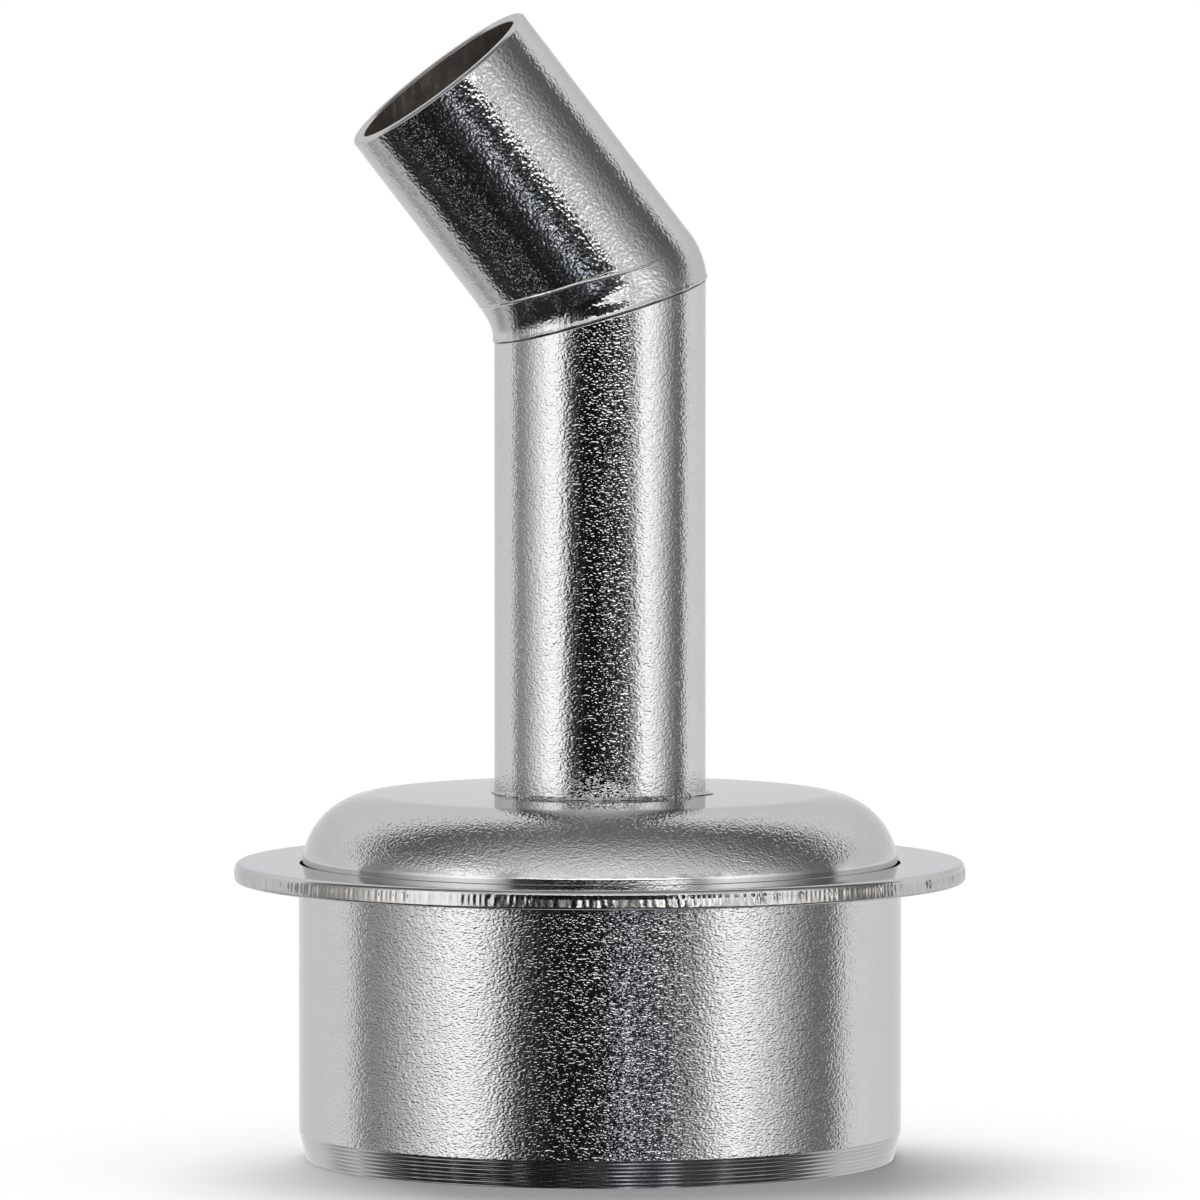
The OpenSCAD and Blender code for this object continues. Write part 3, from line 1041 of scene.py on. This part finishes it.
clutter = ranged(tree, noise(tree, direction, 8.5, 1.0), 0.53, 0.59)
across_it = squared_share(slanted(0.58, -0.81, 19.5), WINDOW_ACROSS)
along_it = squared_share(slanted(0.81, 0.58, 10.0), WINDOW_ALONG)
from_window = arithmetic(tree, "SQRT", arithmetic(tree, "ADD", across_it, along_it))
window = arithmetic(tree, "MULTIPLY_ADD", clutter, 0.95, 0.05)
window = arithmetic(tree, "MULTIPLY", window, ranged(tree, from_window, 1.15, 0.6))
window = arithmetic(tree, "MULTIPLY", window, ranged(tree, climb, -6.5, -11))
tent = blended(tree, window, tent, WINDOW_BLUE)
print("with the window the tent has", len(tree.nodes), "nodes")

# %% Low lights, folds and table
LOW_LIGHT = (0.9, 0.92, 0.96, 1.0)
FOLD_BLACK = (0.0, 0.0, 0.0, 1.0)
TABLE_GREY = (0.85, 0.85, 0.85, 1.0)

low_front = arithmetic(tree, "MULTIPLY", ranged(tree, side, 95, 75), ranged(tree, climb, -10, -22))
sparks = ranged(tree, noise(tree, direction, 10.0, 1.0), 0.65, 0.69)
sparks = arithmetic(tree, "MULTIPLY", sparks, low_front)
tent = blended(tree, arithmetic(tree, "MULTIPLY", sparks, 0.7), tent, LOW_LIGHT)
on_the_panel = arithmetic(tree, "MULTIPLY", ranged(tree, side, 110, 90), ranged(tree, climb, 6, 12))
folds = ranged(tree, noise(tree, direction, 14.0, 1.0), 0.36, 0.64, 0.4, 0.0)
folds = arithmetic(tree, "MULTIPLY", folds, on_the_panel)
tent = blended(tree, folds, tent, FOLD_BLACK)
tent = blended(tree, ranged(tree, climb, -70, -80), tent, TABLE_GREY)
print("with the small things the tent has", len(tree.nodes), "nodes")

# %% [markdown]
# ## What each ray sees
#
# Reflections in the metal see the painted tent. The camera sees plain white at strength 1 behind the
# object, and the even grey that is left for the floor keeps the lamp's shadow soft. A white wall could
# stand behind the object instead, but it would need lamps of its own.

# %% Sky
WHITE = (1.0, 1.0, 1.0, 1.0)
FLOOR_GREY = (0.45, 0.45, 0.45, 1.0)

rays = add_node(tree, "ShaderNodeLightPath").outputs
soft = blended(tree, rays["Is Glossy Ray"], FLOOR_GREY, tent)
plug(tree, blended(tree, rays["Is Camera Ray"], soft, WHITE), background.inputs["Color"])
print("tent painted with", len(tree.nodes), "nodes")

# %% [markdown]
# ## The floor
#
# The nozzle stands on pale matt paper, which keeps its shadow. The paper fades out towards its edge, so
# it passes into the white surroundings without a line. The metal doesn't mirror it, because the tent
# stands for it there. A wide plane would show its far edge, and a small disc that fades doesn't.

# %% Floor
FLOOR_R, FLOOR_SIDES = 42.0 * MM, 96
FADE_FROM, FADE_TO = 18.0 * MM, 40.0 * MM
PAPER = (0.9, 0.9, 0.9)

floor_rim = [(FLOOR_R * math.cos(a), FLOOR_R * math.sin(a), 0.0) for a in around(FLOOR_SIDES)]
floor_mesh = bpy.data.meshes.new("floor")
floor_mesh.from_pydata(floor_rim, [], [list(range(FLOOR_SIDES))])
floor = bpy.data.objects.new("floor", floor_mesh)
bpy.context.scene.collection.objects.link(floor)
floor.visible_glossy = False

paper, tree, shader, place = new_finish("pale_paper", PAPER, 0.9, 0.0)
shader.inputs["Specular IOR Level"].default_value = 0.0
from_middle = add_node(tree, "ShaderNodeVectorMath", operation="LENGTH")
plug(tree, place, from_middle.inputs[0])
underneath = add_node(tree, "ShaderNodeNewGeometry").outputs["Backfacing"]
towards_edge = ranged(tree, from_middle.outputs["Value"], FADE_FROM, FADE_TO)
fade = arithmetic(tree, "MAXIMUM", towards_edge, underneath)
clear = add_node(tree, "ShaderNodeBsdfTransparent")
mixed = add_node(tree, "ShaderNodeMixShader")
plug(tree, fade, mixed.inputs[0])
plug(tree, shader.outputs[0], mixed.inputs[1])
plug(tree, clear.outputs[0], mixed.inputs[2])
plug(tree, mixed.outputs[0], tree.nodes["Material Output"].inputs["Surface"])
floor_mesh.materials.append(paper)
print("floor radius in mm:", round(FLOOR_R / MM, 1))

# %% [markdown]
# ## The lamp
#
# One large soft lamp hangs above and behind, so a soft shadow falls to the front. The metal doesn't
# mirror it, because the tent's panels already stand for the lights. A Sun would draw a hard edge, which a
# shadow on a photographer's table doesn't have.

# %% Lamp
LAMP_AIM = Vector((0.0, 0.0, 20.0)) * MM

soft_box = bpy.data.lights.new("soft_box", "AREA")
soft_box.shape = "RECTANGLE"
soft_box.size, soft_box.size_y = 500.0 * MM, 400.0 * MM
soft_box.energy = 3.9
lamp = bpy.data.objects.new("soft_box", soft_box)
lamp.location = Vector((0.0, 420.0, 460.0)) * MM
lamp.rotation_euler = (lamp.location - LAMP_AIM).to_track_quat("Z", "Y").to_euler()
lamp.visible_camera = False
lamp.visible_glossy = False
bpy.context.scene.collection.objects.link(lamp)
bpy.context.scene.view_settings.view_transform = "Standard"
print("lamp at mm:", [round(v / MM, 1) for v in lamp.location])
